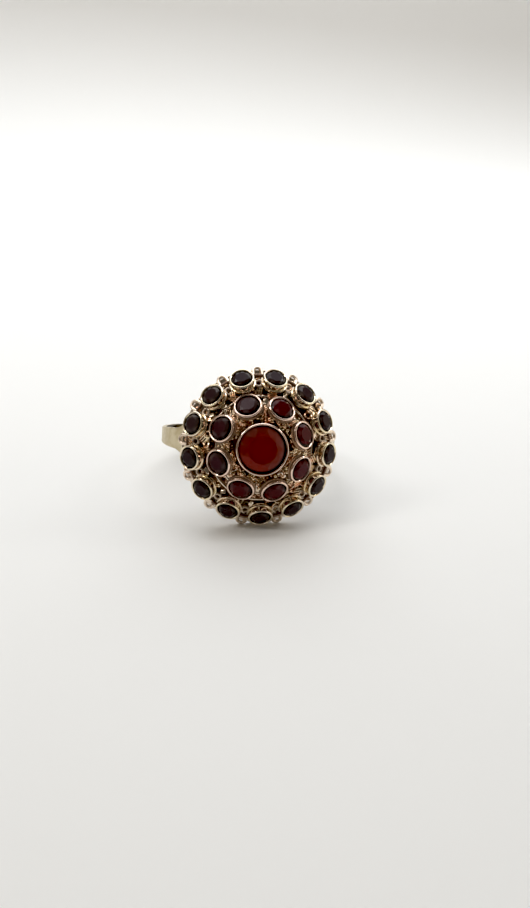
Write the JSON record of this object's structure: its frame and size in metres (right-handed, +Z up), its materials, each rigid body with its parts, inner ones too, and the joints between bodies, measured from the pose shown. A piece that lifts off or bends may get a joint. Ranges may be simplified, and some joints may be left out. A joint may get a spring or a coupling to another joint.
{
  "type": "garnet cluster ring",
  "caption": "Gold finger ring with a domed cluster head of round faceted dark red garnets in turned collets with wire arches between them, lying on its side.",
  "frame": {"origin": "centre of the bounding box at the level of the surface the ring lies on", "axes": "+Z up; the domed head faces -Y with its axis lifted about 21 degrees; the finger's axis leans back from +Z; +X is to the right seen from the head"},
  "size_m": [0.0206, 0.0238, 0.0161],
  "materials": {
    "gold": "polished",
    "garnet": "polished"
  },
  "bodies": {
    "root": {"gold_mount": "gold", "stone_centre": "garnet", "stone_mid_1": "garnet", "stone_mid_2": "garnet", "stone_mid_3": "garnet", "stone_mid_4": "garnet", "stone_mid_5": "garnet", "stone_mid_6": "garnet", "stone_mid_7": "garnet", "stone_mid_8": "garnet", "stone_rim_1": "garnet", "stone_rim_2": "garnet", "stone_rim_3": "garnet", "stone_rim_4": "garnet", "stone_rim_5": "garnet", "stone_rim_6": "garnet", "stone_rim_7": "garnet", "stone_rim_8": "garnet", "stone_rim_9": "garnet", "stone_rim_10": "garnet", "stone_rim_11": "garnet", "stone_rim_12": "garnet", "stone_rim_13": "garnet"}
  },
  "joints": []
}
